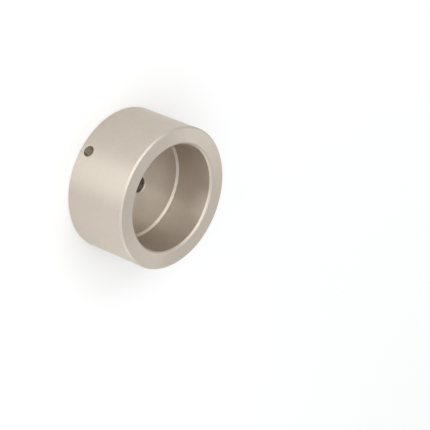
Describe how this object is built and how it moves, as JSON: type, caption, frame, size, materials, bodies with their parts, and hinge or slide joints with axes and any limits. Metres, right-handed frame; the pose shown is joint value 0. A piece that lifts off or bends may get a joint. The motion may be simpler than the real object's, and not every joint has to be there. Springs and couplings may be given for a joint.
{
  "type": "socket fusion die",
  "caption": "Round cup-shaped heating die with a plain pipe socket, a central bolt hole through its floor and a small wrench hole in its side.",
  "frame": {"origin": "centre of the back face, where the bolt hole's axis meets the face that lies on the heater", "axes": "+Z along the axis, out of the socket's mouth; -Y out of the wrench hole in the side"},
  "size_m": [0.084, 0.084, 0.0413],
  "materials": {
    "coated_aluminium": "satin champagne non-stick coating over a finely turned surface"
  },
  "bodies": {
    "root": {"socket_die": "coated_aluminium"}
  },
  "joints": []
}
